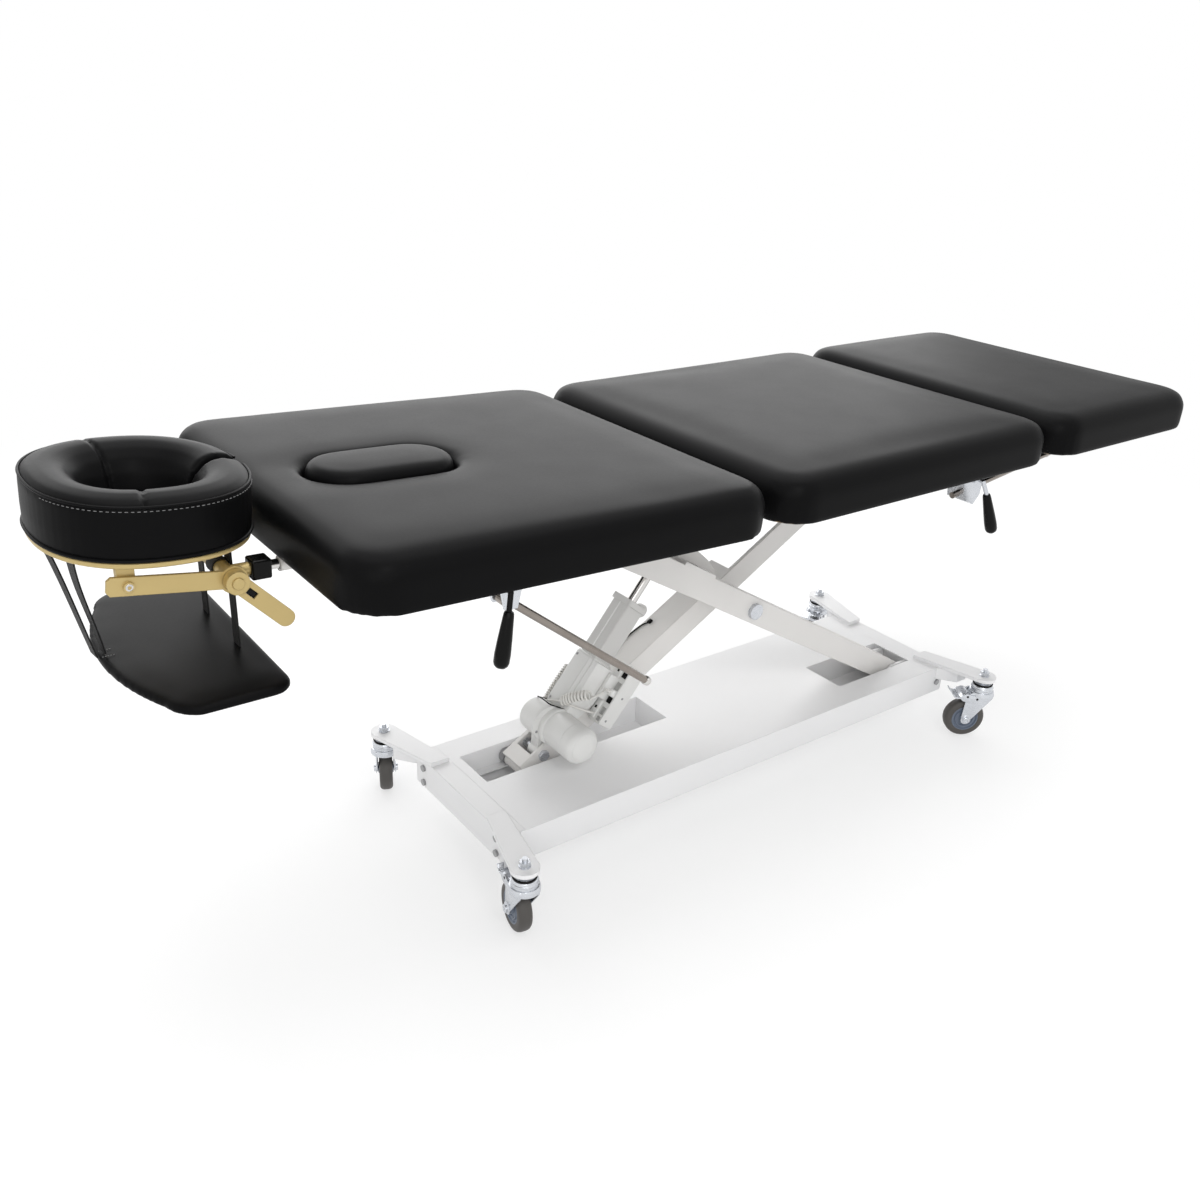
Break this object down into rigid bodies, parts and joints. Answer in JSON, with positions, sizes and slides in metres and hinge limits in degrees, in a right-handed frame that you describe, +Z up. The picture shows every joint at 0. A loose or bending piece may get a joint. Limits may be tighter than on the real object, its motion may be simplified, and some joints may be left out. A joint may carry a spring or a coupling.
{
  "type": "electric treatment table",
  "caption": "Electric treatment table: padded three-section top with a removable face plug, face rest and arm shelf on a motor-driven scissor lift with a low base on braked casters.",
  "frame": {"origin": "on the floor under the middle of the overall box", "axes": "+X towards the foot end along the table, +Y to the side away from the release levers, +Z up"},
  "size_m": [2.218, 0.7, 0.818],
  "materials": {
    "white_coat": "satin white powder coat",
    "arm_coat": "warm light grey powder coat",
    "zinc": "bright zinc plate",
    "caster_tyre": "dark grey tyre on a blue-grey hub",
    "roller_plastic": "plain nylon",
    "actuator_plastic": "light grey moulded plastic",
    "actuator_metal": "satin extruded profile",
    "chrome_steel": "polished",
    "cord_sheath": "smooth light grey sheath",
    "plywood": "plain plywood",
    "black_vinyl": "black vinyl with a soft sheen",
    "black_plastic": "satin black",
    "gold_coat": "champagne gold",
    "black_strap": "woven webbing",
    "shelf_vinyl": "black vinyl over a board"
  },
  "bodies": {
    "base": {"base_tray": "white_coat", "head_beam": "white_coat", "foot_beam": "white_coat", "caster_arms": "white_coat", "caster_stems": "zinc", "frame_bolts": "zinc", "base_pivot_bolt": "zinc"},
    "arm_a": {"arm_a": "arm_coat", "scissor_bolt": "zinc"},
    "arm_a_roller": {"arm_a_roller": "roller_plastic"},
    "arm_b": {"arm_b": "arm_coat", "eye_bolt": "zinc"},
    "arm_b_roller": {"arm_b_roller": "roller_plastic"},
    "actuator": {"actuator_housing": "actuator_plastic", "motor": "actuator_plastic", "actuator_tube": "actuator_metal", "control_box": "actuator_plastic", "coil_cord": "cord_sheath"},
    "actuator_rod": {"actuator_rod": "chrome_steel"},
    "table": {"table_frame": "arm_coat", "hinge_pins": "zinc", "mid_board": "plywood", "mid_cushion": "black_vinyl", "arm_b_pin": "zinc"},
    "head": {"head_frame": "arm_coat", "head_board": "plywood", "head_cushion": "black_vinyl", "head_lock": "zinc"},
    "plug": {"face_plug": "black_vinyl"},
    "head_rod": {"head_rod": "chrome_steel"},
    "head_lever": {"head_lever": "black_plastic", "head_grip": "black_plastic"},
    "foot": {"foot_frame": "arm_coat", "foot_board": "plywood", "foot_cushion": "black_vinyl"},
    "foot_lock": {"foot_lock": "zinc"},
    "foot_rod": {"foot_rod": "chrome_steel"},
    "foot_lever": {"foot_lever": "zinc", "foot_grip": "black_plastic"},
    "cradle_carriage": {"cradle_rods": "chrome_steel", "cradle_blocks": "black_plastic", "cradle_yoke": "gold_coat"},
    "cradle": {"cradle_bars": "gold_coat", "cradle_plate": "gold_coat", "face_pillow": "black_vinyl", "shelf_straps": "black_strap", "arm_shelf": "shelf_vinyl"},
    "cam_lever": {"cam_lever": "gold_coat"},
    "fork_head_near": {"fork_head_near": "zinc"},
    "wheel_head_near": {"wheel_head_near": "caster_tyre"},
    "pedal_head_near": {"pedal_head_near": "zinc"},
    "fork_head_far": {"fork_head_far": "zinc"},
    "wheel_head_far": {"wheel_head_far": "caster_tyre"},
    "pedal_head_far": {"pedal_head_far": "zinc"},
    "fork_foot_near": {"fork_foot_near": "zinc"},
    "wheel_foot_near": {"wheel_foot_near": "caster_tyre"},
    "pedal_foot_near": {"pedal_foot_near": "zinc"},
    "fork_foot_far": {"fork_foot_far": "zinc"},
    "wheel_foot_far": {"wheel_foot_far": "caster_tyre"},
    "pedal_foot_far": {"pedal_foot_far": "zinc"}
  },
  "joints": [
    {"name": "swivel_head_near", "type": "hinge", "parent": "base", "child": "fork_head_near", "pos_m": [-0.50744, -0.2466, 0.126], "axis": [0, 0, 1], "continuous": true},
    {"name": "roll_head_near", "type": "hinge", "parent": "fork_head_near", "child": "wheel_head_near", "pos_m": [-0.50223, -0.21706, 0.044], "axis": [-0.9848, 0.1736, 0], "continuous": true},
    {"name": "brake_head_near", "type": "hinge", "parent": "fork_head_near", "child": "pedal_head_near", "pos_m": [-0.50501, -0.23281, 0.097], "axis": [-0.9848, 0.1736, 0], "range_deg": [0, 10]},
    {"name": "swivel_head_far", "type": "hinge", "parent": "base", "child": "fork_head_far", "pos_m": [-0.50744, 0.2466, 0.126], "axis": [0, 0, 1], "continuous": true},
    {"name": "roll_head_far", "type": "hinge", "parent": "fork_head_far", "child": "wheel_head_far", "pos_m": [-0.49429, 0.27356, 0.044], "axis": [-0.8988, 0.4384, 0], "continuous": true},
    {"name": "brake_head_far", "type": "hinge", "parent": "fork_head_far", "child": "pedal_head_far", "pos_m": [-0.50131, 0.25918, 0.097], "axis": [-0.8988, 0.4384, 0], "range_deg": [0, 10]},
    {"name": "swivel_foot_near", "type": "hinge", "parent": "base", "child": "fork_foot_near", "pos_m": [0.68956, -0.2466, 0.126], "axis": [0, 0, 1], "continuous": true},
    {"name": "roll_foot_near", "type": "hinge", "parent": "fork_foot_near", "child": "wheel_foot_near", "pos_m": [0.66468, -0.22982, 0.044], "axis": [-0.5592, -0.829, 0], "continuous": true},
    {"name": "brake_foot_near", "type": "hinge", "parent": "fork_foot_near", "child": "pedal_foot_near", "pos_m": [0.67795, -0.23877, 0.097], "axis": [-0.5592, -0.829, 0], "range_deg": [0, 10]},
    {"name": "swivel_foot_far", "type": "hinge", "parent": "base", "child": "fork_foot_far", "pos_m": [0.68956, 0.2466, 0.126], "axis": [0, 0, 1], "continuous": true},
    {"name": "roll_foot_far", "type": "hinge", "parent": "fork_foot_far", "child": "wheel_foot_far", "pos_m": [0.66237, 0.23392, 0.044], "axis": [0.4226, -0.9063, 0], "continuous": true},
    {"name": "brake_foot_far", "type": "hinge", "parent": "fork_foot_far", "child": "pedal_foot_far", "pos_m": [0.67687, 0.24068, 0.097], "axis": [0.4226, -0.9063, 0], "range_deg": [0, 10]},
    {"name": "lift", "type": "hinge", "parent": "base", "child": "arm_a", "pos_m": [0.58015, 0, 0.1116], "axis": [0, 1, 0], "range_deg": [-7, 8]},
    {"name": "arm_b_cross", "type": "hinge", "parent": "arm_a", "child": "arm_b", "pos_m": [0.12641, 0, 0.37569], "axis": [0, 1, 0], "range_deg": [-16.2, 14.2]},
    {"name": "table_level", "type": "hinge", "parent": "arm_b", "child": "table", "pos_m": [0.58015, 0, 0.63977], "axis": [0, 1, 0], "range_deg": [-7.1, 8.1]},
    {"name": "upper_roller_spin", "type": "hinge", "parent": "arm_a", "child": "arm_a_roller", "pos_m": [-0.32734, -0.0102, 0.63977], "axis": [0, 1, 0], "continuous": true},
    {"name": "lower_roller_spin", "type": "hinge", "parent": "arm_b", "child": "arm_b_roller", "pos_m": [-0.32734, 0.0903, 0.1116], "axis": [0, 1, 0], "continuous": true},
    {"name": "actuator_swing", "type": "hinge", "parent": "arm_b", "child": "actuator", "pos_m": [-0.29304, 0.04, 0.13896], "axis": [0, 1, 0], "range_deg": [-1, 0.9]},
    {"name": "actuator_stroke", "type": "slide", "parent": "actuator", "child": "actuator_rod", "axis": [0.624, 0, 0.7814], "range_m": [-0.0455, 0.0519]},
    {"name": "head_tilt", "type": "hinge", "parent": "table", "child": "head", "pos_m": [-0.10399, 0, 0.71397], "axis": [0, 1, 0], "range_deg": [-2.1, 50]},
    {"name": "head_rod_swing", "type": "hinge", "parent": "head", "child": "head_rod", "pos_m": [-0.57161, -0.281, 0.65106], "axis": [0, 1, 0], "range_deg": [-22, 48]},
    {"name": "head_release", "type": "hinge", "parent": "head", "child": "head_lever", "pos_m": [-0.58939, -0.309, 0.68474], "axis": [-0.9993, 0, 0.0366], "range_deg": [0, 18], "stiffness_Nm_per_rad": 3},
    {"name": "plug_lift", "type": "slide", "parent": "head", "child": "plug", "axis": [0.0366, 0, 0.9993], "range_m": [0, 0.1]},
    {"name": "foot_tilt", "type": "hinge", "parent": "table", "child": "foot", "pos_m": [0.61801, 0, 0.66797], "axis": [0, 1, 0], "range_deg": [0, 35]},
    {"name": "foot_lock_swing", "type": "hinge", "parent": "table", "child": "foot_lock", "pos_m": [0.44801, -0.266, 0.63297], "axis": [0, 1, 0], "range_deg": [0, 9.6]},
    {"name": "foot_rod_slide", "type": "slide", "parent": "foot_lock", "child": "foot_rod", "axis": [0.9918, 0, 0.1281], "range_m": [-0.0168, 0]},
    {"name": "foot_release", "type": "hinge", "parent": "foot_lock", "child": "foot_lever", "pos_m": [0.42901, -0.309, 0.66397], "axis": [-1, 0, 0], "range_deg": [0, 18], "stiffness_Nm_per_rad": 3},
    {"name": "cradle_slide", "type": "slide", "parent": "head", "child": "cradle_carriage", "axis": [-0.9993, 0, 0.0366], "range_m": [0, 0.12]},
    {"name": "cradle_tilt", "type": "hinge", "parent": "cradle_carriage", "child": "cradle", "pos_m": [-0.88738, 0, 0.69066], "axis": [0, 1, 0], "range_deg": [-30, 4]},
    {"name": "cam_turn", "type": "hinge", "parent": "cradle_carriage", "child": "cam_lever", "pos_m": [-0.88738, -0.129, 0.69066], "axis": [0, 1, 0], "range_deg": [-30, 30]}
  ],
  "couplings": [
    {"joint": "arm_b_cross", "follows": "lift", "ratio": -2},
    {"joint": "table_level", "follows": "lift", "ratio": 1},
    {"joint": "actuator_swing", "follows": "lift", "ratio": -0.12},
    {"joint": "actuator_stroke", "follows": "lift", "m_per_rad": 0.368},
    {"joint": "foot_lock_swing", "follows": "foot_tilt", "ratio": 0.272},
    {"joint": "foot_rod_slide", "follows": "foot_tilt", "m_per_rad": -0.02725}
  ]
}
